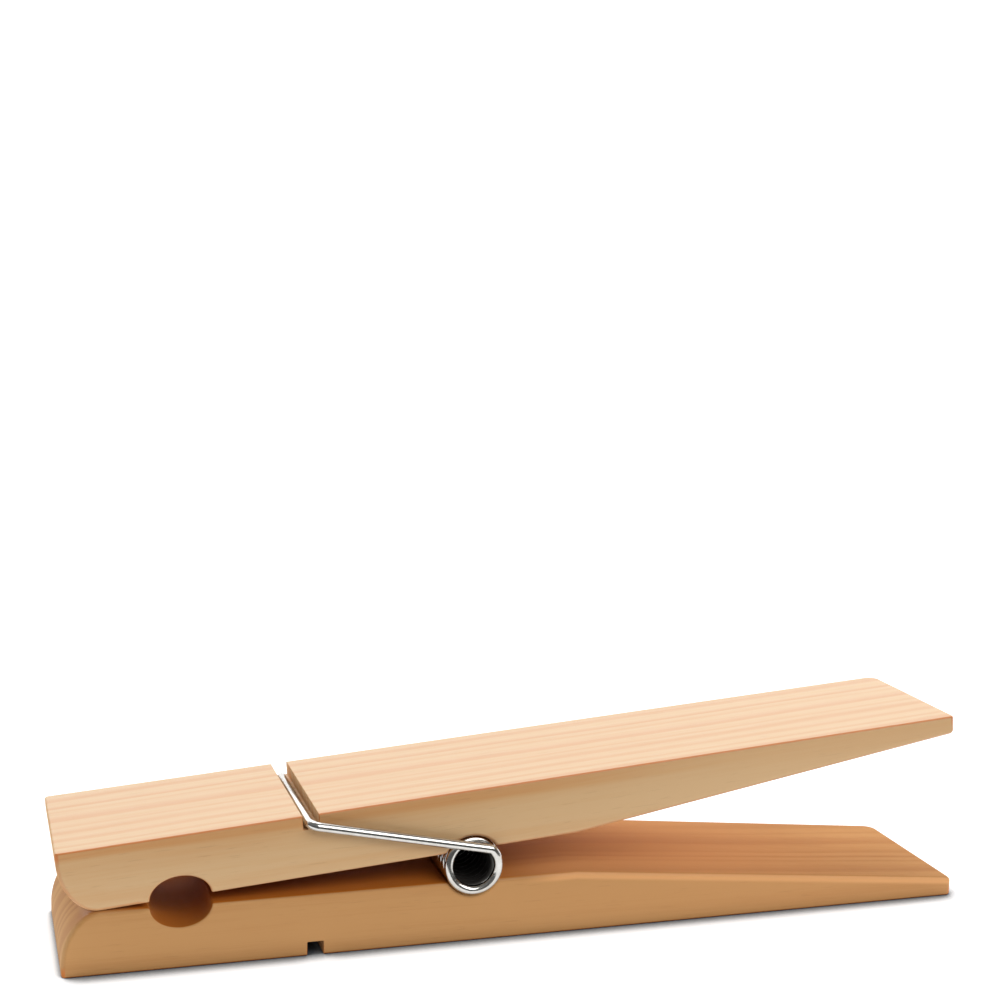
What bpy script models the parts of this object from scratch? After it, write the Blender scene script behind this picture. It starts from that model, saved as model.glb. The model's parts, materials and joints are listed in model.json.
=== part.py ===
"""A large wooden spring clothespin, lying closed on the outer face of its lower leg.

Metres, +Z up. +X runs along the pin from the jaw to the handles, and Y across it.
The origin is under the middle of the pin's bounding box, on the surface that it lies on.

The pin is two identical legs and one torsion spring. A leg and its spring arm are drawn once,
in the lower leg's own place, and the upper pair is the same pair turned half a turn about
the mid line between the legs. The spring is one wire in the real pin. Its coil and its two
arms are separate objects here, because each arm moves with its leg.
"""

import math

import bmesh
import bpy
from mathutils import Matrix, Vector

# The wooden leg, measured along it from the jaw end and inward from its outer face.
LEG_LENGTH = 0.2286
LEG_WIDTH = 0.0435
LEG_THICKNESS = 0.0150
TAIL_THICKNESS = 0.0047
TAPER_START = 0.1240
NOSE_LENGTH = 0.0090
NOSE_START_DEPTH = 0.0025
NOSE_CONTACT = 0.0085
EDGE_ROUNDING = 0.0005
TAIL_CORNER_ROUNDING = 0.0020

# The clothesline hole, half of it in each leg.
HOLE_CENTRE = 0.0271
HOLE_HALF_LENGTH = 0.0071
HOLE_DEPTH = 0.0052

# The groove across the outer face that holds the end of a spring arm.
GROOVE_START = 0.0566
GROOVE_WIDTH = 0.0039
GROOVE_DEPTH = 0.0035

# How the legs stand to each other when the pin is closed.
LEG_TILT = math.radians(2.4)
TOUCHING_GAP = 0.0003

# The spring.
WIRE_DIAMETER = 0.0023
COIL_RADIUS = 0.0060
COIL_STATION = 0.0970
COIL_WHOLE_TURNS = 18
END_TURN_PITCH = 0.0032
SEAT_CLEARANCE = 0.0004
SEAT_LIP_ROUNDING = 0.0015
ARM_JOIN_ANGLE = math.radians(41.0)
ARM_BEND_RADIUS = 0.0025
ARM_TURN = math.radians(14.0)
ARM_TIP_INSET = 0.0060
OPENING_TRAVEL = math.radians(16.7)

# Facets.
COIL_POINTS_PER_TURN = 12
NOSE_FACETS = 12
HOLE_FACETS = 16
SEAT_FACETS = 16
LIP_FACETS = 3
BEND_FACETS = 5

# Worked out from the above.
WIRE_RADIUS = WIRE_DIAMETER / 2
MID_LINE = Vector((math.cos(LEG_TILT), 0.0, math.sin(LEG_TILT)))
NOSE_MEETING = Vector((NOSE_CONTACT, 0.0, LEG_THICKNESS + TOUCHING_GAP / 2))
COIL_DEPTH = NOSE_MEETING.z + math.tan(LEG_TILT) * (COIL_STATION - NOSE_CONTACT)
SEAT_RADIUS = COIL_RADIUS + WIRE_RADIUS + SEAT_CLEARANCE
ARM_PLANE = LEG_WIDTH / 2 + TOUCHING_GAP + WIRE_RADIUS
COIL_SWEEP = 2 * math.pi * COIL_WHOLE_TURNS + 2 * (ARM_JOIN_ANGLE + LEG_TILT)
MIDDLE_PITCH = (2 * ARM_PLANE - 2 * END_TURN_PITCH) / (COIL_SWEEP / (2 * math.pi) - 2)
WINDING_SLIT = OPENING_TRAVEL / 2 + 1.2 * TOUCHING_GAP / COIL_RADIUS


def mirrored_in_mid_line(station, depth):
    """A point of the upper leg, given as the same point of the lower one."""
    arm = Vector((station, 0.0, depth)) - NOSE_MEETING
    return NOSE_MEETING + 2 * arm.dot(MID_LINE) * MID_LINE - arm


FRONT = mirrored_in_mid_line(0.0, 0.0).x
CENTRE_STATION = (FRONT + LEG_LENGTH) / 2
HINGE = Vector((COIL_STATION - CENTRE_STATION, 0.0, COIL_DEPTH))


def clear_scene():
    for thing in list(bpy.data.objects):
        bpy.data.objects.remove(thing, do_unlink=True)


def collection(name):
    made = bpy.data.collections.new(name)
    bpy.context.scene.collection.children.link(made)
    return made


def material(name, colour, roughness, metallic):
    made = bpy.data.materials.new(name)
    made.use_nodes = True
    shader = made.node_tree.nodes["Principled BSDF"]
    shader.inputs["Base Color"].default_value = (*colour, 1.0)
    shader.inputs["Roughness"].default_value = roughness
    shader.inputs["Metallic"].default_value = metallic
    made.diffuse_color = (*colour, 1.0)
    return made


def arc(centre, radii, start, end, facets):
    """Points on an ellipse's arc, from one angle to another, both ends included."""
    angles = [start + (end - start) * i / facets for i in range(facets + 1)]
    return [(centre[0] + radii[0] * math.cos(a), centre[1] + radii[1] * math.sin(a)) for a in angles]


def lip(centre, start, end):
    """The rounded edge where the coil's seat meets the inner face."""
    return arc(centre, (SEAT_LIP_ROUNDING,) * 2, start, end, LIP_FACETS)


def seat_outline():
    """The coil's round seat with its two rounded lips, from the handle side to the jaw side."""
    lip_depth = LEG_THICKNESS - SEAT_LIP_ROUNDING
    reach = SEAT_RADIUS + SEAT_LIP_ROUNDING
    rise = COIL_DEPTH - lip_depth
    half = math.sqrt(reach**2 - rise**2)
    turn = math.atan2(rise, half)
    right = (COIL_STATION + half, lip_depth)
    left = (COIL_STATION - half, lip_depth)
    seat = arc((COIL_STATION, COIL_DEPTH), (SEAT_RADIUS,) * 2, -turn, turn - math.pi, SEAT_FACETS)
    return (
        lip(right, math.pi / 2, math.pi - turn)
        + seat[1:-1]
        + lip(left, turn, math.pi / 2)
    )


def hole_outline():
    """Half of the clothesline hole, from the handle side to the jaw side."""
    return arc(
        (HOLE_CENTRE, LEG_THICKNESS), (HOLE_HALF_LENGTH, HOLE_DEPTH), 0.0, -math.pi, HOLE_FACETS
    )


def nose_outline():
    """The nose, rounded from the jaw face down towards the outer face."""
    depth = LEG_THICKNESS - NOSE_START_DEPTH
    centre = (NOSE_LENGTH, NOSE_START_DEPTH)
    return arc(centre, (NOSE_LENGTH, depth), math.pi / 2, math.pi, NOSE_FACETS)


def groove_outline():
    """The groove for the spring arm, from the jaw side to the handle side."""
    end = GROOVE_START + GROOVE_WIDTH
    return [(GROOVE_START, 0.0), (GROOVE_START, GROOVE_DEPTH), (end, GROOVE_DEPTH), (end, 0.0)]


def leg_outline():
    """The leg seen from the side: station along it, depth from its outer face."""
    return (
        [(0.0, 0.0)]
        + groove_outline()
        + [(LEG_LENGTH, 0.0), (LEG_LENGTH, TAIL_THICKNESS), (TAPER_START, LEG_THICKNESS)]
        + seat_outline()
        + hole_outline()
        + nose_outline()
    )


def outline_curve(name, points, thickness):
    """A flat outline with thickness, as a 2D curve."""
    curve = bpy.data.curves.new(name, "CURVE")
    curve.dimensions = "2D"
    curve.fill_mode = "BOTH"
    curve.extrude = thickness / 2
    spline = curve.splines.new("POLY")
    spline.points.add(len(points) - 1)
    for point, (station, depth) in zip(spline.points, points):
        point.co = (station, depth, 0.0, 1.0)
    spline.use_cyclic_u = True
    return curve


def wire_curve(name, points):
    """A round wire through the given points."""
    curve = bpy.data.curves.new(name, "CURVE")
    curve.dimensions = "3D"
    curve.bevel_depth = WIRE_RADIUS
    curve.bevel_resolution = 2
    curve.use_fill_caps = True
    spline = curve.splines.new("POLY")
    spline.points.add(len(points) - 1)
    for point, place in zip(spline.points, points):
        point.co = (*place, 1.0)
    return curve


def mesh_from_curve(curve, transform):
    """The curve's mesh with its loose caps welded, moved by the transform."""
    holder = bpy.data.objects.new(curve.name, curve)
    bpy.context.scene.collection.objects.link(holder)
    depsgraph = bpy.context.evaluated_depsgraph_get()
    mesh = bpy.data.meshes.new_from_object(holder.evaluated_get(depsgraph))
    name = curve.name
    bpy.data.objects.remove(holder, do_unlink=True)
    bpy.data.curves.remove(curve)
    mesh.name = name
    work = bmesh.new()
    work.from_mesh(mesh)
    bmesh.ops.remove_doubles(work, verts=work.verts, dist=0.00001)
    bmesh.ops.transform(work, matrix=transform, verts=work.verts)
    bmesh.ops.recalc_face_normals(work, faces=work.faces)
    work.to_mesh(mesh)
    work.free()
    return mesh


def ready_for_rounding(mesh):
    """Makes each flat side one face, and marks the sharp edges, the tail's corners the most."""
    work = bmesh.new()
    work.from_mesh(mesh)
    bmesh.ops.dissolve_limit(
        work, angle_limit=math.radians(0.5), verts=work.verts, edges=work.edges
    )
    weight = work.edges.layers.float.new("bevel_weight_edge")
    tail = LEG_LENGTH - COIL_STATION - EDGE_ROUNDING
    for edge in work.edges:
        if edge.calc_face_angle(0.0) < math.radians(35):
            continue
        ends = [vertex.co for vertex in edge.verts]
        upright = abs(ends[0].y - ends[1].y) < EDGE_ROUNDING
        at_tail = min(end.x for end in ends) > tail
        edge[weight] = 1.0 if upright and at_tail else EDGE_ROUNDING / TAIL_CORNER_ROUNDING
    work.to_mesh(mesh)
    work.free()


def leg_mesh():
    """A leg in the lower leg's place, with the hinge axis as its origin."""
    points = [(s - COIL_STATION, d - COIL_DEPTH) for s, d in leg_outline()]
    stand_up = Matrix.Rotation(math.radians(90), 4, "X")
    mesh = mesh_from_curve(outline_curve("leg", points, LEG_WIDTH), stand_up)
    ready_for_rounding(mesh)
    return mesh


def coil_point(angle):
    """The wire's centre after so much turning from the coil's -Y end."""
    whole = 2 * math.pi
    first = min(angle, whole)
    last = max(angle - (COIL_SWEEP - whole), 0.0)
    middle = angle - first - last
    along = ((first + last) * END_TURN_PITCH + middle * MIDDLE_PITCH) / whole
    around = ARM_JOIN_ANGLE + 2 * LEG_TILT - angle
    return Vector((COIL_RADIUS * math.cos(around), along - ARM_PLANE, COIL_RADIUS * math.sin(around)))


def coil_points(start, end, facet):
    steps = max(1, round((end - start) / facet))
    return [coil_point(start + (end - start) * i / steps) for i in range(steps + 1)]


def rounded_corner(before, corner, after, radius):
    """Points of an arc that replaces a corner of a wire's path."""
    one = (before - corner).normalized()
    two = (after - corner).normalized()
    half = one.angle(two) / 2
    centre = corner + (one + two).normalized() * radius / math.sin(half)
    start = corner + one * radius / math.tan(half) - centre
    end = corner + two * radius / math.tan(half) - centre
    sweep = start.angle(end)
    points = []
    for i in range(BEND_FACETS + 1):
        share = i / BEND_FACETS
        mix = start * math.sin((1 - share) * sweep) + end * math.sin(share * sweep)
        points.append(centre + mix / math.sin(sweep))
    return points


def arm_points():
    """The lower leg's arm: along its groove, down its side and into the coil's +Y end."""
    groove = GROOVE_START + TOUCHING_GAP + WIRE_RADIUS - COIL_STATION
    floor = GROOVE_DEPTH - TOUCHING_GAP - WIRE_RADIUS - COIL_DEPTH
    tip = Vector((groove, ARM_TIP_INSET - LEG_WIDTH / 2, floor))
    corner = Vector((groove, ARM_PLANE, floor))
    join = coil_point(COIL_SWEEP)
    turn = coil_points(COIL_SWEEP - ARM_TURN, COIL_SWEEP, ARM_TURN / 2)[:-1]
    return (
        [tip]
        + rounded_corner(tip, corner, join, ARM_BEND_RADIUS)
        + rounded_corner(corner, join, turn[-1], COIL_RADIUS / 4)
        + turn[-2::-1]
    )


def place(name, mesh, paint, into, pivot, turned):
    """An object with its origin on the hinge axis, turned over to the upper leg if asked."""
    made = bpy.data.objects.new(name, mesh)
    into.objects.link(made)
    made.parent = pivot
    if turned:
        made.rotation_mode = "QUATERNION"
        made.rotation_quaternion = Matrix.Rotation(math.pi, 3, MID_LINE).to_quaternion()
    made.data.materials.clear()
    made.data.materials.append(paint)
    return made


def add_rounding(leg):
    bevel = leg.modifiers.new("rounded_edges", "BEVEL")
    bevel.limit_method = "WEIGHT"
    bevel.width = TAIL_CORNER_ROUNDING
    bevel.segments = 2
    bevel.use_clamp_overlap = False


def add_pivot(name, into):
    pivot = bpy.data.objects.new(name, None)
    pivot.empty_display_size = COIL_RADIUS
    pivot.location = HINGE
    into.objects.link(pivot)
    return pivot


def smooth(mesh):
    mesh.shade_smooth()
    mesh.set_sharp_from_angle(angle=math.radians(50))


def build():
    clear_scene()
    pin = collection("clothespin")
    wood = material("leg_wood", (0.62, 0.38, 0.18), 0.6, 0.0)
    steel = material("spring_wire", (0.75, 0.74, 0.70), 0.2, 1.0)
    lower_hinge = add_pivot("lower_hinge", pin)
    jaw_hinge = add_pivot("jaw_hinge", pin)
    coil_hinge = add_pivot("coil_hinge", pin)

    leg = leg_mesh()
    add_rounding(place("lower_leg", leg, wood, pin, lower_hinge, False))
    add_rounding(place("upper_leg", leg, wood, pin, jaw_hinge, True))

    arm = mesh_from_curve(wire_curve("spring_arm", arm_points()), Matrix.Identity(4))
    smooth(arm)
    place("spring_lower_arm", arm, steel, pin, lower_hinge, False)
    place("spring_upper_arm", arm, steel, pin, jaw_hinge, True)

    inset = ARM_TURN + WINDING_SLIT
    turns = coil_points(inset, COIL_SWEEP - inset, 2 * math.pi / COIL_POINTS_PER_TURN)
    coil = mesh_from_curve(wire_curve("spring_coil", turns), Matrix.Identity(4))
    smooth(coil)
    place("spring_coil", coil, steel, pin, coil_hinge, False)


build()
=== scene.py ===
"""The looks of a large wooden spring clothespin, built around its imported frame.

Metres, in the frame's own axes: +X from the jaw to the handles, +Y across, +Z up.
A leg is drawn once in its own place, measured from the hinge axis, and the upper leg is
the same leg turned half a turn about the mid line. The spring is one smooth wire in three
pieces, cut where the coil is hidden in its seats.
"""

import json
import math

import bmesh
import bpy
from mathutils import Matrix, Vector


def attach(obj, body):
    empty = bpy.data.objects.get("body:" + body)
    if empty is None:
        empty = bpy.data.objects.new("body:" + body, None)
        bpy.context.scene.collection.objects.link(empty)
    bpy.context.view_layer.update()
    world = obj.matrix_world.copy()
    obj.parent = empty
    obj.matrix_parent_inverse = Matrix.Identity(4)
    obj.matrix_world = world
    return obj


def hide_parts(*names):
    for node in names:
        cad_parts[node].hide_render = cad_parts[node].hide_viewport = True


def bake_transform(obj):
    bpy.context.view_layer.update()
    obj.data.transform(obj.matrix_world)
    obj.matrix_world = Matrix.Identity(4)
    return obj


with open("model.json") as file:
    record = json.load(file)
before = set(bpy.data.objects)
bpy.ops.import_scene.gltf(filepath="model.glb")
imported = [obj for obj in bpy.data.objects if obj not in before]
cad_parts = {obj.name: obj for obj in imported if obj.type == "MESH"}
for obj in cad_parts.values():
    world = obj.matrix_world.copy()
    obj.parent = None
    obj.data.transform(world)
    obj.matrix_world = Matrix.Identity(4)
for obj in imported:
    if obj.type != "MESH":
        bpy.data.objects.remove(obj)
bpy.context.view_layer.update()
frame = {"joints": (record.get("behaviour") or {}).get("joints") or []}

# The leg, measured along it from the jaw end and inward from its outer face.
LEG_LENGTH = 0.2286
LEG_WIDTH = 0.0435
LEG_THICKNESS = 0.0150
TAIL_THICKNESS = 0.0047
TAPER_START = 0.1240
NOSE_LENGTH = 0.0090
NOSE_START_DEPTH = 0.0025
NOSE_REACH = 0.00014
HOLE_CENTRE = 0.0271
HOLE_HALF_LENGTH = 0.0071
HOLE_DEPTH = 0.0052
GROOVE_START = 0.0566
GROOVE_WIDTH = 0.0039
GROOVE_DEPTH = 0.0033
COIL_STATION = 0.0970
SEAT_CLEARANCE = 0.0001
SEAT_LIP_ROUNDING = 0.0015
LEG_TILT = math.radians(2.4)

# How far the handle end's upright corners and each kind of edge are rounded.
NEAR_TAIL_CORNER = 0.0013
FAR_TAIL_CORNER = 0.0032
NOSE_EDGE_ROUNDING = 0.0012
INNER_EDGE_ROUNDING = 0.0010
OUTER_EDGE_ROUNDING = 0.0005
GROOVE_EDGE_ROUNDING = 0.00022

# Where the nose's edges end, from where on the inner edges have their own rounding, and how
# far an edge has to bend to be rounded at all.
NOSE_ROUNDING_END = 0.0175
BEHIND_HOLE = 0.045
SHARP_FROM = math.radians(30)

# The spring. The rounding of the wire's end is a share of its radius.
WIRE_RADIUS = 0.00115
COIL_RADIUS = 0.0060
COIL_WHOLE_TURNS = 18
END_TURN_PITCH = 0.0032
ARM_JOIN_ANGLE = math.radians(41.0)
ARM_BEND_RADIUS = 0.0025
ARM_TIP_INSET = 0.0060
ARM_GROOVE_FLOOR = 0.0035
WIRE_GAP = 0.0003
TURNS_ON_AN_ARM = 1.3
WIRE_END_ROUNDING = 0.22
POINTS_PER_TURN = 56
WIRE_SIDES = 28

# How bright the room is round the table, overhead and behind, the background as the camera
# sees it, and the floor's own glow.
ROOM_LOW = 0.12
ROOM_HIGH = 0.2
ROOM_BEHIND = 1.85
BACKGROUND = 1.1
FLOOR_GLOW = 0.75

WHOLE_TURN = 2 * math.pi
ARM_PLANE = LEG_WIDTH / 2 + WIRE_GAP + WIRE_RADIUS
COIL_SWEEP = WHOLE_TURN * COIL_WHOLE_TURNS + 2 * (ARM_JOIN_ANGLE + LEG_TILT)
MIDDLE_PITCH = (2 * ARM_PLANE - 2 * END_TURN_PITCH) / (COIL_SWEEP / WHOLE_TURN - 2)
HINGE = Vector(next(j for j in frame["joints"] if j["name"] == "jaw_opening")["pos_m"])
MID_LINE = Vector((math.cos(LEG_TILT), 0.0, math.sin(LEG_TILT)))
INNER_FACE = (LEG_THICKNESS - HINGE.z) * 1000
OUTER_FACE = -HINGE.z * 1000
NOSE_END = (NOSE_LENGTH - COIL_STATION) * 1000
TAPER_X = (TAPER_START - COIL_STATION) * 1000
TAPER_SLOPE = (LEG_THICKNESS - TAIL_THICKNESS) / (LEG_LENGTH - TAPER_START)
LOWER = Matrix.Identity(3)
UPPER = Matrix.Rotation(math.pi, 3, MID_LINE)


# ---------------------------------------------------------------- the legs


def arc(centre, radii, start, end, facets):
    """Points on an ellipse's arc, from one angle to another, both ends included."""
    angles = [start + (end - start) * i / facets for i in range(facets + 1)]
    return [
        (centre[0] + radii[0] * math.cos(a), centre[1] + radii[1] * math.sin(a)) for a in angles
    ]


def seat_outline():
    """The coil's round seat with its two rounded lips, from the handle side to the jaw side."""
    radius = COIL_RADIUS + WIRE_RADIUS + SEAT_CLEARANCE
    lip_depth = LEG_THICKNESS - SEAT_LIP_ROUNDING
    reach = radius + SEAT_LIP_ROUNDING
    rise = HINGE.z - lip_depth
    half = math.sqrt(reach**2 - rise**2)
    turn = math.atan2(rise, half)
    lips = (SEAT_LIP_ROUNDING,) * 2
    near = arc((COIL_STATION + half, lip_depth), lips, math.pi / 2, math.pi - turn, 6)
    seat = arc((COIL_STATION, HINGE.z), (radius,) * 2, -turn, turn - math.pi, 40)
    far = arc((COIL_STATION - half, lip_depth), lips, turn, math.pi / 2, 6)
    return near + seat[1:-1] + far


def leg_outline():
    """The leg seen from the side: station along it, depth from its outer face."""
    groove_end = GROOVE_START + GROOVE_WIDTH
    jaw_depth = LEG_THICKNESS + NOSE_REACH
    return (
        [(0.0, 0.0), (GROOVE_START, 0.0), (GROOVE_START, GROOVE_DEPTH)]
        + [(groove_end, GROOVE_DEPTH), (groove_end, 0.0), (LEG_LENGTH, 0.0)]
        + [(LEG_LENGTH, TAIL_THICKNESS), (TAPER_START, LEG_THICKNESS)]
        + seat_outline()
        + arc((HOLE_CENTRE, LEG_THICKNESS), (HOLE_HALF_LENGTH, HOLE_DEPTH), 0.0, -math.pi, 26)
        + [(NOSE_ROUNDING_END, LEG_THICKNESS + NOSE_REACH * 0.6)]
        + arc(
            (NOSE_LENGTH, NOSE_START_DEPTH),
            (NOSE_LENGTH, jaw_depth - NOSE_START_DEPTH),
            math.pi / 2,
            math.pi,
            28,
        )
    )


def edge_rounding(edge):
    """How far a sharp edge of the leg is rounded."""
    ends = [vertex.co for vertex in edge.verts]
    station = [end.x + COIL_STATION for end in ends]
    depth = [end.z + HINGE.z for end in ends]
    across = abs(ends[0].y - ends[1].y) > 0.5 * LEG_WIDTH
    slack = 0.0005
    after_groove = GROOVE_START + GROOVE_WIDTH
    in_groove = GROOVE_START - slack < min(station) and max(station) < after_groove + slack
    if in_groove and max(depth) < GROOVE_DEPTH + slack:
        return GROOVE_EDGE_ROUNDING
    if not across and max(station) < NOSE_ROUNDING_END + slack and max(depth) > slack:
        return NOSE_EDGE_ROUNDING
    if min(depth) > TAIL_THICKNESS - slack and min(station) > BEHIND_HOLE:
        return INNER_EDGE_ROUNDING
    return OUTER_EDGE_ROUNDING


def round_tail_corner(work, side, radius):
    """Rounds one of the leg's two upright corners at the handle end."""
    for edge in work.edges:
        ends = [vertex.co for vertex in edge.verts]
        at_tail = min(end.x for end in ends) + COIL_STATION > LEG_LENGTH - 0.001
        if at_tail and min(end.y * side for end in ends) > 0:
            corner = edge
            break
    bmesh.ops.bevel(
        work, geom=[corner], offset=radius, offset_type="OFFSET", segments=8, profile=0.5,
        affect="EDGES", clamp_overlap=False,
    )


def leg_mesh(name, turn):
    """A leg with its edges' roundings marked, in the place that turn puts it in.

    The upright corner of the handle end that is nearer to the front is the sharper one.
    """
    near_side = -1.0 if turn.col[1].y > 0 else 1.0
    work = bmesh.new()
    outline = leg_outline()
    near = [work.verts.new((s - COIL_STATION, -LEG_WIDTH / 2, d - HINGE.z)) for s, d in outline]
    far = [work.verts.new((v.co.x, LEG_WIDTH / 2, v.co.z)) for v in near]
    work.faces.new(near)
    work.faces.new(far[::-1])
    count = len(outline)
    for i in range(count):
        j = (i + 1) % count
        work.faces.new((near[j], near[i], far[i], far[j]))
    bmesh.ops.recalc_face_normals(work, faces=work.faces)
    round_tail_corner(work, near_side, NEAR_TAIL_CORNER)
    round_tail_corner(work, -near_side, FAR_TAIL_CORNER)
    weight = work.edges.layers.float.new("bevel_weight_edge")
    for edge in work.edges:
        if edge.calc_face_angle(0.0) > SHARP_FROM:
            edge[weight] = edge_rounding(edge) / NOSE_EDGE_ROUNDING
    mesh = bpy.data.meshes.new(name)
    work.to_mesh(mesh)
    work.free()
    mesh.transform(turn.to_4x4())
    mesh.transform(Matrix.Translation(HINGE))
    mesh.shade_smooth()
    return mesh


def add_leg(name, turn, body, node, paint):
    """A leg with rounded edges, on its body and in place of its plain node."""
    leg = bpy.data.objects.new(name, leg_mesh(name, turn))
    bpy.context.scene.collection.objects.link(leg)
    bevel = leg.modifiers.new("rounded_edges", "BEVEL")
    bevel.limit_method = "WEIGHT"
    bevel.width = NOSE_EDGE_ROUNDING
    bevel.segments = 4
    bevel.use_clamp_overlap = False
    bevel.harden_normals = True
    leg.data.materials.append(paint)
    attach(leg, body)
    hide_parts(node)


# ---------------------------------------------------------------- the spring


def coil_point(angle):
    """The wire's centre after so much turning from the coil's -Y end, from the hinge."""
    first = min(angle, WHOLE_TURN)
    last = max(angle - (COIL_SWEEP - WHOLE_TURN), 0.0)
    middle = angle - first - last
    along = ((first + last) * END_TURN_PITCH + middle * MIDDLE_PITCH) / WHOLE_TURN
    around = ARM_JOIN_ANGLE + 2 * LEG_TILT - angle
    across, up = COIL_RADIUS * math.cos(around), COIL_RADIUS * math.sin(around)
    return Vector((across, along - ARM_PLANE, up))


def coil_points(start, end):
    """Points along the coil between two angles."""
    steps = max(1, round(abs(end - start) / WHOLE_TURN * POINTS_PER_TURN))
    return [coil_point(start + (end - start) * i / steps) for i in range(steps + 1)]


def rounded_corner(before, corner, after, radius, facets):
    """Points of an arc that replaces a corner of a wire's path."""
    one = (before - corner).normalized()
    two = (after - corner).normalized()
    half = one.angle(two) / 2
    centre = corner + (one + two).normalized() * radius / math.sin(half)
    start = corner + one * radius / math.tan(half) - centre
    end = corner + two * radius / math.tan(half) - centre
    sweep = start.angle(end)
    points = []
    for i in range(facets + 1):
        share = i / facets
        mix = start * math.sin((1 - share) * sweep) + end * math.sin(share * sweep)
        points.append(centre + mix / math.sin(sweep))
    return points


def arm_points():
    """The lower leg's arm: along its groove, down its side and round the coil's first turn."""
    groove = GROOVE_START + WIRE_GAP + WIRE_RADIUS - COIL_STATION
    floor = ARM_GROOVE_FLOOR - WIRE_GAP - WIRE_RADIUS - HINGE.z
    tip = Vector((groove, ARM_TIP_INSET - LEG_WIDTH / 2, floor))
    corner = Vector((groove, ARM_PLANE, floor))
    join = coil_point(COIL_SWEEP)
    turns = coil_points(COIL_SWEEP, COIL_SWEEP - TURNS_ON_AN_ARM * WHOLE_TURN)
    return (
        [tip]
        + rounded_corner(tip, corner, join, ARM_BEND_RADIUS, 14)
        + rounded_corner(corner, join, turns[2], COIL_RADIUS / 4, 6)
        + turns[3:]
    )


def ring_frames(points):
    """Two directions across the wire at each point, turning as little as they can."""
    frames = []
    side = Vector((0.0, 0.0, 1.0))
    for i, point in enumerate(points):
        ahead = (points[min(i + 1, len(points) - 1)] - points[max(i - 1, 0)]).normalized()
        side = (side - ahead * side.dot(ahead)).normalized()
        frames.append((side, ahead.cross(side)))
    return frames


def wire_mesh(name, points, turn, blunt_start):
    """A round wire with its length and its way round kept on each point, for the material.

    A blunt start is the wire's free end, with a slightly rounded rim.
    """
    rings = [(point, 1.0) for point in points]
    if blunt_start:
        ahead = (points[1] - points[0]).normalized()
        rings[:1] = [
            (
                points[0] + ahead * WIRE_RADIUS * s,
                1 - WIRE_END_ROUNDING * (1 - s / WIRE_END_ROUNDING) ** 2,
            )
            for s in (0.0, 0.07, WIRE_END_ROUNDING)
        ]
    places = [place for place, _ in rings]
    frames = ring_frames(places)
    work = bmesh.new()
    made = []
    marks = []
    gone = 0.0
    for i, ((place, share), (one, two)) in enumerate(zip(rings, frames)):
        if i:
            gone += (place - places[i - 1]).length
        ring = []
        for k in range(WIRE_SIDES):
            angle = WHOLE_TURN * k / WIRE_SIDES
            out = one * math.cos(angle) + two * math.sin(angle)
            ring.append(work.verts.new(place + out * WIRE_RADIUS * share))
            marks.append((gone * 1000, math.cos(angle), math.sin(angle)))
        made.append(ring)
    for a, b in zip(made, made[1:]):
        for k in range(WIRE_SIDES):
            m = (k + 1) % WIRE_SIDES
            face = work.faces.new((a[k], a[m], b[m], b[k]))
            face.smooth = True
    work.faces.new(made[0][::-1])
    work.faces.new(made[-1])
    for ring in (made[0], made[-1]):
        for k in range(WIRE_SIDES):
            work.edges.get((ring[k], ring[(k + 1) % WIRE_SIDES])).smooth = False
    mesh = bpy.data.meshes.new(name)
    work.to_mesh(mesh)
    work.free()
    along = mesh.attributes.new("along_wire", "FLOAT_VECTOR", "POINT")
    along.data.foreach_set("vector", [x for mark in marks for x in mark])
    mesh.transform(turn.to_4x4())
    mesh.transform(Matrix.Translation(HINGE))
    return mesh


def add_wire(name, points, turn, node, paint, blunt_start):
    """One of the wire's three pieces, in place of its plain node."""
    wire = bpy.data.objects.new(name, wire_mesh(name, points, turn, blunt_start))
    bpy.context.scene.collection.objects.link(wire)
    wire.data.materials.append(paint)
    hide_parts(node)
    return wire


# ---------------------------------------------------------------- materials

# How far the grain wanders, in mm, and how deep in tone a growth ring is from its start to
# its end.
GRAIN_BEND = 5.0
RING_TONE = [(0.0, 0.15), (0.28, 0.0), (0.55, 0.45), (0.74, 1.0), (0.88, 0.85), (1.0, 0.15)]

# What the wood's own colours are mixed with, and the wire's colours.
RESIN = (0.34, 0.16, 0.06)
OPEN_CELLS = (0.36, 0.19, 0.08)
END_GRAIN = (0.80, 0.52, 0.27)
BANDED_SIDE = (0.95, 0.64, 0.36)
PLAIN_SIDE = (0.85, 0.34, 0.12)
DEEPER_EDGE = (0.64, 0.20, 0.045)
# These sawn colours also hold painted shade of the hole and the gap between the legs.
SAWN_AND_SHADED_AT_JAW = (0.42, 0.118, 0.002)
SAWN_AND_SHADED_AT_HANDLE = (0.71, 0.34, 0.125)
# A painted highlight along the lower leg's inner edges.
EDGE_HIGHLIGHT = (0.76, 0.38, 0.15)
PLATING = (0.64, 0.63, 0.60)
CLOUDED_PLATING = (0.55, 0.53, 0.49)
SPECK = (0.36, 0.33, 0.28)
# Painted shade inside the coil's bore.
BORE_SHADE = (0.03, 0.025, 0.022)


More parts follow.
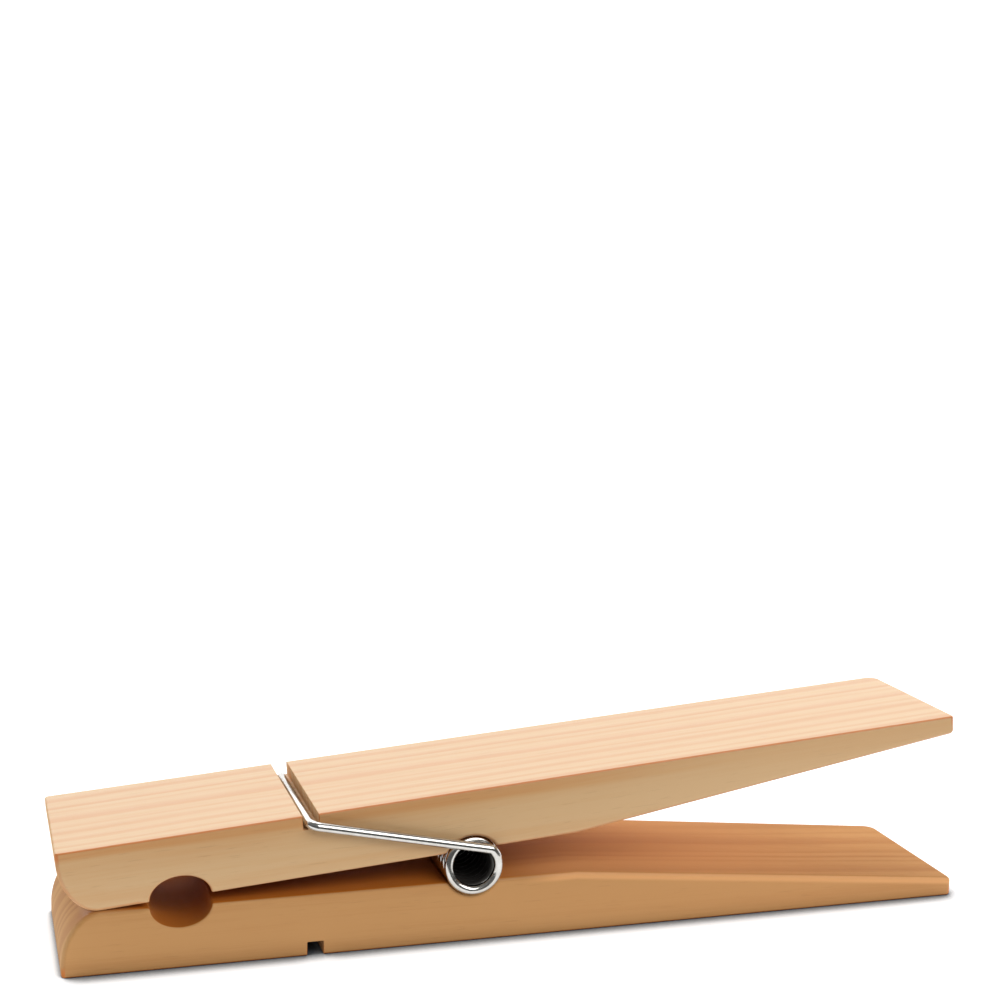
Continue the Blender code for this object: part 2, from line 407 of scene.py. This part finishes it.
class Graph:
    """A material and short ways to wire its nodes."""

    def __init__(self, name):
        self.material = bpy.data.materials.new(name)
        self.material.use_nodes = True
        self.tree = self.material.node_tree
        self.tree.nodes.clear()

    def node(self, kind, inputs, **settings):
        made = self.tree.nodes.new("ShaderNode" + kind)
        for key, value in settings.items():
            setattr(made, key, value)
        for key, value in inputs.items():
            if isinstance(value, bpy.types.NodeSocket):
                self.tree.links.new(value, made.inputs[key])
            else:
                made.inputs[key].default_value = value
        return made

    def math(self, operation, *values, clamp=False):
        inputs = dict(enumerate(values))
        return self.node("Math", inputs, operation=operation, use_clamp=clamp).outputs[0]

    def vector(self, operation, *values):
        made = self.node("VectorMath", dict(enumerate(values)), operation=operation)
        return made.outputs["Value" if operation in ("LENGTH", "DOT_PRODUCT") else "Vector"]

    def scaled(self, vector, scale):
        return self.vector("MULTIPLY", vector, scale)

    def noise(self, vector, detail=2.0, roughness=0.5):
        inputs = {"Vector": vector, "Scale": 1.0, "Detail": detail, "Roughness": roughness}
        return self.node("TexNoise", inputs)

    def range(self, value, low, high, new_low=0.0, new_high=1.0):
        """Maps low..high smoothly to new_low..new_high."""
        inputs = {"Value": value, "From Min": low, "From Max": high}
        inputs.update({"To Min": new_low, "To Max": new_high})
        return self.node("MapRange", inputs, interpolation_type="SMOOTHSTEP").outputs["Result"]

    def ramp(self, value, stops):
        made = self.node("ValToRGB", {"Fac": value})
        elements = made.color_ramp.elements
        while len(elements) < len(stops):
            elements.new(0.5)
        for element, (position, level) in zip(elements, stops):
            element.position = position
            element.color = (level, level, level, 1.0)
        return made.outputs["Color"]

    def mix(self, share, one, two):
        made = self.tree.nodes.new("ShaderNodeMix")
        made.data_type = "RGBA"
        for index, value in ((0, share), (6, one), (7, two)):
            socket = made.inputs[index]
            if isinstance(value, bpy.types.NodeSocket):
                self.tree.links.new(value, socket)
            elif isinstance(value, tuple):
                socket.default_value = (*value, 1.0)
            else:
                socket.default_value = value
        return made.outputs[2]

    def finish(self, **inputs):
        """The surface, from the principled shader's inputs, with _ for a space."""
        named = {key.replace("_", " "): value for key, value in inputs.items()}
        shader = self.node("BsdfPrincipled", named)
        self.node("OutputMaterial", {"Surface": shader.outputs[0]})
        return self.material


def wood(name, turn, pith, slope, spacing, seed, early, late, ring_depth, banded, ior):
    """Sanded pine. The pith is a line outside the leg, and the rings are round it everywhere.

    turn takes the frame to the leg's own axes. pith is across and inward, in mm, and slope is
    how much it runs out of line with the leg. spacing is between rings, in mm. Banded wood is
    deeper in colour along the outer part of its sides; the other has a painted highlight along
    the handle's inner edges.
    """
    g = Graph(name)
    coordinates = g.node("TexCoord", {})
    from_hinge = g.vector("SUBTRACT", coordinates.outputs["Object"], tuple(HINGE))
    turned = g.node(
        "Mapping", {"Vector": from_hinge, "Rotation": turn.to_euler(), "Scale": (1000.0,) * 3}
    ).outputs[0]
    place = g.node("SeparateXYZ", {"Vector": turned})
    x, z = place.outputs["X"], place.outputs["Z"]
    mm = g.vector("ADD", turned, (seed, 0.0, 0.0))

    # Growth rings round the pith, with the grain a little bent and a little out of line.
    bend = g.noise(g.scaled(mm, (0.007, 0.030, 0.030)), detail=2.0).outputs["Color"]
    bent = g.vector("MULTIPLY_ADD", bend, (0.0, GRAIN_BEND, GRAIN_BEND), mm)
    lean = g.node(
        "CombineXYZ", {"Y": g.math("MULTIPLY", x, slope[0]), "Z": g.math("MULTIPLY", x, slope[1])}
    ).outputs[0]
    leant = g.vector("ADD", bent, lean)
    middle = (0.0, pith[0] + GRAIN_BEND / 2, pith[1] + GRAIN_BEND / 2)
    across = g.scaled(g.vector("SUBTRACT", leant, middle), (0.0, 1.0, 1.0))
    radius = g.vector("LENGTH", across)
    uneven = g.node(
        "TexNoise", {"W": g.math("MULTIPLY_ADD", radius, 0.09, seed), "Scale": 1.0, "Detail": 1.0},
        noise_dimensions="1D",
    ).outputs[0]
    count = g.math("MULTIPLY_ADD", uneven, 1.7, g.math("DIVIDE", radius, spacing))
    phase = g.math("FRACT", count)
    year = g.node(
        "TexWhiteNoise", {"W": g.math("FLOOR", count)}, noise_dimensions="1D"
    ).outputs["Value"]
    ring = g.ramp(phase, RING_TONE)
    strength = g.math("MULTIPLY_ADD", year, 0.6, 0.4)
    ring = g.math("MULTIPLY", ring, strength)

    # Fibres, broad bands of tone and short resin canals, all drawn out along the grain.
    streaks = g.noise(g.scaled(bent, (0.012, 0.9, 0.9)), detail=4.0, roughness=0.6).outputs[0]
    fibres = g.noise(g.scaled(bent, (0.05, 5.0, 5.0)), detail=2.0, roughness=0.6).outputs[0]
    bands = g.noise(g.scaled(bent, (0.006, 0.11, 0.11)), detail=1.0).outputs[0]
    canals = g.noise(g.scaled(bent, (0.16, 3.6, 3.6)), detail=0.0).outputs[0]
    canals = g.range(canals, 0.73, 0.82)

    # The rings are clearest on the end grain and quietest on the sides.
    facing = g.node("SeparateXYZ", {"Vector": coordinates.outputs["Normal"]})
    sideways = g.math("MULTIPLY", facing.outputs["Y"], facing.outputs["Y"])
    end = g.range(g.math("ABSOLUTE", facing.outputs["X"]), 0.30, 0.85)
    contrast = g.math("MULTIPLY_ADD", sideways, -0.65 * ring_depth, ring_depth)
    contrast = g.math("ADD", contrast, end)
    depth = g.math("MULTIPLY", ring, contrast)
    depth = g.math("ADD", depth, g.range(streaks, 0.30, 0.75, -0.08, 0.14))
    depth = g.math("ADD", depth, g.range(bands, 0.35, 0.70, -0.08, 0.12))
    depth = g.math("ADD", depth, g.range(fibres, 0.30, 0.70, -0.06, 0.06), clamp=True)
    if banded:
        below = g.math("MULTIPLY_ADD", x, -0.010, z)
        band = g.range(below, OUTER_FACE + 2.1, OUTER_FACE + 3.7, 0.5, 0.0)
        band = g.math("MULTIPLY", band, g.range(x, 10.0, 85.0, 1.0, 0.0))
        depth = g.math("MULTIPLY_ADD", band, sideways, depth, clamp=True)
    colour = g.mix(depth, early, late)
    colour = g.mix(g.math("MULTIPLY", canals, 0.18), colour, RESIN)
    cells = g.noise(g.scaled(mm, (0.6, 7.0, 7.0)), detail=1.0).outputs[0]
    open_grain = g.math("MULTIPLY", end, g.range(cells, 0.35, 0.75, 0.0, 0.15))
    colour = g.mix(open_grain, colour, OPEN_CELLS)
    colour = g.mix(g.math("MULTIPLY", end, 0.25), colour, END_GRAIN)

    # The sides are paler toward the handle end.
    most = 0.30 if banded else 0.12
    paler = g.math("MULTIPLY", sideways, g.range(x, -20.0, 110.0, 0.0, most))
    colour = g.mix(paler, colour, BANDED_SIDE if banded else PLAIN_SIDE)

    # The edges are deeper in colour, most of all the outer ones.
    corner = g.math("MULTIPLY", sideways, g.math("SUBTRACT", 1.0, sideways))
    least = 0.3 if banded else 0.0
    outer = g.range(z, OUTER_FACE + 1.0, OUTER_FACE + 3.0, 0.9, least)
    corner = g.math("MULTIPLY", g.range(corner, 0.01, 0.14), outer)
    colour = g.mix(corner, colour, DEEPER_EDGE)

    # The inner side and the bored hole are sawn and not sanded, so rougher. Their deeper colour is
    # partly sawn wood and partly painted shade of the hole and the gap, deepest at the jaw.
    # level is z with what the taper takes away added back, so that the inner side is level.
    thinned = g.math("MULTIPLY_ADD", x, TAPER_SLOPE, -TAPER_SLOPE * TAPER_X)
    level = g.math("ADD", z, g.math("MAXIMUM", thinned, 0.0))
    inside = g.range(level, OUTER_FACE + 5.5, OUTER_FACE + 8.0)
    inside = g.math("MULTIPLY", inside, g.range(z, OUTER_FACE + 1.5, OUTER_FACE + 3.5))
    behind_nose = g.range(x, NOSE_END, NOSE_END + 9.0)
    off_side = g.range(sideways, 0.10, 0.45, 1.0, 0.0)
    sawn_and_shaded = g.math("MULTIPLY", g.math("MULTIPLY", inside, behind_nose), off_side)
    taper = g.range(x, 0.0, 30.0)
    tail = g.range(x, 55.0, 110.0, 0.0, 0.42)
    # Painted shade: darkest by the hole and the jaw, fading toward the handle.
    deep = g.mix(taper, SAWN_AND_SHADED_AT_JAW, SAWN_AND_SHADED_AT_HANDLE)
    amount = g.math("SUBTRACT", g.math("MULTIPLY_ADD", taper, -0.4, 0.9), tail)
    colour = g.mix(g.math("MULTIPLY", sawn_and_shaded, amount), colour, deep)
    # Painted highlight: the lower leg's inner edges toward the handle are painted paler, as a lit
    # rounded edge.
    if not banded:
        near_edge = g.range(level, INNER_FACE - 2.2, INNER_FACE - 1.2)
        edge_highlight = g.math("MULTIPLY", near_edge, g.range(x, 12.0, 24.0))
        edge_highlight = g.math("MULTIPLY", edge_highlight, g.math("MULTIPLY_ADD", sawn_and_shaded, -0.8, 0.8))
        colour = g.mix(edge_highlight, colour, EDGE_HIGHLIGHT)

    # A little relief, and the roughness.
    height = g.math("MULTIPLY_ADD", ring, 0.5, g.math("MULTIPLY", fibres, 0.35))
    height = g.math("MULTIPLY_ADD", streaks, 0.3, height)
    height = g.math("MULTIPLY_ADD", canals, -0.6, height)
    bump = g.node("Bump", {"Height": height, "Strength": 0.6, "Distance": 0.00006})
    rough = g.range(g.math("ADD", fibres, g.math("MULTIPLY", ring, -0.3)), 0.1, 0.8, 0.30, 0.44)
    rough = g.math("MULTIPLY_ADD", g.math("MAXIMUM", sawn_and_shaded, end), 0.5, rough, clamp=True)
    return g.finish(Base_Color=colour, Roughness=rough, Normal=bump.outputs[0], IOR=ior)


def plated_wire(name):
    """Bright plated spring wire, with the faint lines that drawing leaves along it."""
    g = Graph(name)
    mark = g.node("Attribute", {}, attribute_name="along_wire").outputs["Vector"]
    lines = g.noise(g.scaled(mark, (0.05, 7.0, 7.0)), detail=3.0, roughness=0.6).outputs[0]
    clouds = g.noise(g.scaled(mark, (0.35, 0.8, 0.8)), detail=3.0).outputs[0]
    specks = g.range(g.noise(g.scaled(mark, (2.2, 3.0, 3.0)), detail=1.0).outputs[0], 0.68, 0.76)

    # Inside the bore, behind its first turn, the wire is painted dark as painted shade.
    coordinates = g.node("TexCoord", {}).outputs["Object"]
    from_hinge = g.vector("SUBTRACT", coordinates, tuple(HINGE))
    from_axis = g.vector("LENGTH", g.scaled(from_hinge, (1000.0, 0.0, 1000.0)))
    across = g.node("SeparateXYZ", {"Vector": g.scaled(from_hinge, (0.0, 1000.0, 0.0))})
    from_middle = g.math("ABSOLUTE", across.outputs["Y"])
    end = ARM_PLANE * 1000
    bore = g.math(
        "MULTIPLY",
        g.range(from_axis, 5.3, 6.2, 1.0, 0.0),
        g.range(from_middle, end - 3.5, end - 1.0, 1.0, 0.0),
    )

    tone = g.mix(g.range(clouds, 0.35, 0.70), PLATING, CLOUDED_PLATING)
    tone = g.mix(g.math("MULTIPLY", specks, 0.35), tone, SPECK)
    tone = g.mix(g.math("MULTIPLY", bore, 0.95), tone, BORE_SHADE)
    rough = g.range(lines, 0.30, 0.75, 0.10, 0.24)
    rough = g.math("MULTIPLY_ADD", specks, 0.15, rough)
    rough = g.math("MULTIPLY_ADD", bore, 0.7, rough, clamp=True)
    height = g.math("MULTIPLY_ADD", specks, -0.5, lines)
    bump = g.node("Bump", {"Height": height, "Strength": 0.35, "Distance": 0.00002})
    return g.finish(Base_Color=tone, Metallic=1.0, Roughness=rough, Normal=bump.outputs[0])


# ---------------------------------------------------------------- studio


def add_floor():
    """A white floor with a contact shadow that leans to the front.

    It ends a little in front of the pin, where the wire mirrors the dim room.
    """
    mesh = bpy.data.meshes.new("floor")
    front, reach = -0.085, 0.8
    sides = ((-reach, front), (reach, front), (reach, reach), (-reach, reach))
    mesh.from_pydata([(x, y, 0.0) for x, y in sides], [], [(0, 1, 2, 3)])
    floor = bpy.data.objects.new("floor", mesh)
    bpy.context.scene.collection.objects.link(floor)
    g = Graph("floor_white")
    lean = g.node("CombineXYZ", {"X": -0.35, "Y": 0.55, "Z": 0.75}).outputs[0]
    before = g.node("AmbientOcclusion", {"Distance": 0.006, "Normal": lean}, samples=8)
    around = g.node("AmbientOcclusion", {"Distance": 0.0025}, samples=8)
    open_air = g.math("MINIMUM", before.outputs["AO"], around.outputs["AO"])
    paint = g.finish(
        Base_Color=g.mix(g.range(open_air, 0.22, 0.90), (0.04, 0.05, 0.06), (0.58, 0.60, 0.62)),
        Roughness=0.9,
        Specular_IOR_Level=0.1,
        Emission_Color=(1.0, 1.0, 1.0, 1.0),
        Emission_Strength=g.range(open_air, 0.27, 0.96, 0.0, FLOOR_GLOW),
    )
    mesh.materials.append(paint)


def add_softbox(name, place, aim, size, power):
    """A rectangular lamp, hidden from the camera. Metres and watts."""
    light = bpy.data.lights.new(name, "AREA")
    light.shape = "RECTANGLE"
    light.size, light.size_y = size
    light.energy = power
    lamp = bpy.data.objects.new(name, light)
    bpy.context.scene.collection.objects.link(lamp)
    lamp.visible_camera = False
    lamp.location = place
    lamp.rotation_mode = "QUATERNION"
    lamp.rotation_quaternion = (Vector(aim) - Vector(place)).to_track_quat("-Z", "Y")


def add_world():
    """A room that is bright overhead and behind, and dim in front, before a white background."""
    world = bpy.data.worlds.new("studio")
    bpy.context.scene.world = world
    world.use_nodes = True
    tree = world.node_tree
    tree.nodes.clear()
    direction = tree.nodes.new("ShaderNodeTexCoord")
    parts = tree.nodes.new("ShaderNodeSeparateXYZ")
    tree.links.new(direction.outputs["Generated"], parts.inputs[0])

    def rise(name, axis, start, full, low, high):
        """A brightness that rises along an axis of the view direction."""
        made = tree.nodes.new("ShaderNodeMapRange")
        made.name = name
        made.interpolation_type = "SMOOTHSTEP"
        limits = {"From Min": start, "From Max": full, "To Min": low, "To Max": high}
        for socket, value in limits.items():
            made.inputs[socket].default_value = value
        tree.links.new(parts.outputs[axis], made.inputs["Value"])
        return made.outputs["Result"]

    room = tree.nodes.new("ShaderNodeMath")
    room.operation = "MAXIMUM"
    tree.links.new(rise("room_overhead", "Z", 0.28, 0.50, ROOM_LOW, ROOM_HIGH), room.inputs[0])
    tree.links.new(rise("room_behind", "Y", 0.0, 0.6, 0.0, ROOM_BEHIND), room.inputs[1])
    path = tree.nodes.new("ShaderNodeLightPath")
    seen = tree.nodes.new("ShaderNodeMix")
    tree.links.new(path.outputs["Is Camera Ray"], seen.inputs[0])
    tree.links.new(room.outputs[0], seen.inputs[2])
    seen.inputs[3].default_value = BACKGROUND
    background = tree.nodes.new("ShaderNodeBackground")
    background.inputs["Color"].default_value = (1.0, 1.0, 1.0, 1.0)
    tree.links.new(seen.outputs[0], background.inputs["Strength"])
    output = tree.nodes.new("ShaderNodeOutputWorld")
    tree.links.new(background.outputs[0], output.inputs["Surface"])


def add_camera():
    """At eye level with a low table, in front of the jaw end and looking down a little."""
    camera = bpy.data.objects.new("camera", bpy.data.cameras.new("camera"))
    bpy.context.scene.collection.objects.link(camera)
    camera.data.sensor_width = 36.0
    camera.data.lens = 64.56
    camera.data.clip_start = 0.01
    camera.data.clip_end = 50.0
    place = Vector((-0.1344, -0.4201, 0.1693))
    azimuth = math.radians(-17.064)
    down = math.radians(8.37)
    roll = math.radians(1.35)
    level = Vector((-math.sin(azimuth), math.cos(azimuth), 0.0))
    forward = level * math.cos(down) - Vector((0.0, 0.0, math.sin(down)))
    right = forward.cross(Vector((0.0, 0.0, 1.0))).normalized()
    up = right.cross(forward)
    right, up = (
        right * math.cos(roll) + up * math.sin(roll),
        up * math.cos(roll) - right * math.sin(roll),
    )
    basis = Matrix((right, up, -forward)).transposed()
    camera.matrix_world = Matrix.Translation(place) @ basis.to_4x4()
    bpy.context.scene.camera = camera


# ---------------------------------------------------------------- everything


def build():
    """The legs, the spring, and the studio round them."""
    upper_wood = wood(
        "upper_leg_pine", UPPER, (-74.0, 24.0), (0.004, 0.006), 4.4, 10.0,
        (0.655, 0.424, 0.210), (0.60, 0.295, 0.105), 1.35, True, 1.5,
    )
    lower_wood = wood(
        "lower_leg_pine", LOWER, (62.0, 26.0), (-0.006, 0.008), 5.2, 400.0,
        (0.525, 0.272, 0.099), (0.41, 0.170, 0.048), 0.8, False, 1.3,
    )
    add_leg("lower_leg_wood", LOWER, "lower_leg", "lower_leg", lower_wood)
    add_leg("upper_leg_wood", UPPER, "upper_leg", "upper_leg", upper_wood)

    steel = plated_wire("plated_spring_wire")
    arm = arm_points()
    lower_arm = add_wire("spring_lower_arm_wire", arm, LOWER, "spring_lower_arm", steel, True)
    upper_arm = add_wire("spring_upper_arm_wire", arm, UPPER, "spring_upper_arm", steel, True)
    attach(lower_arm, "lower_leg")
    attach(upper_arm, "upper_leg")
    taken = TURNS_ON_AN_ARM * WHOLE_TURN
    turns = coil_points(taken, COIL_SWEEP - taken)
    coil = add_wire("spring_coil_wire", turns, LOWER, "spring_coil", steel, False)
    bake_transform(coil)

    add_floor()
    add_world()
    add_softbox("top", (0.0, 0.35, 1.1), (0.0, 0.0, 0.0), (0.8, 0.6), 3.0)
    add_softbox("front", (0.55, -0.95, 0.92), (0.0, 0.0, 0.02), (1.4, 0.8), 12.7)
    add_camera()
    bpy.context.scene.view_settings.view_transform = "Standard"


build()
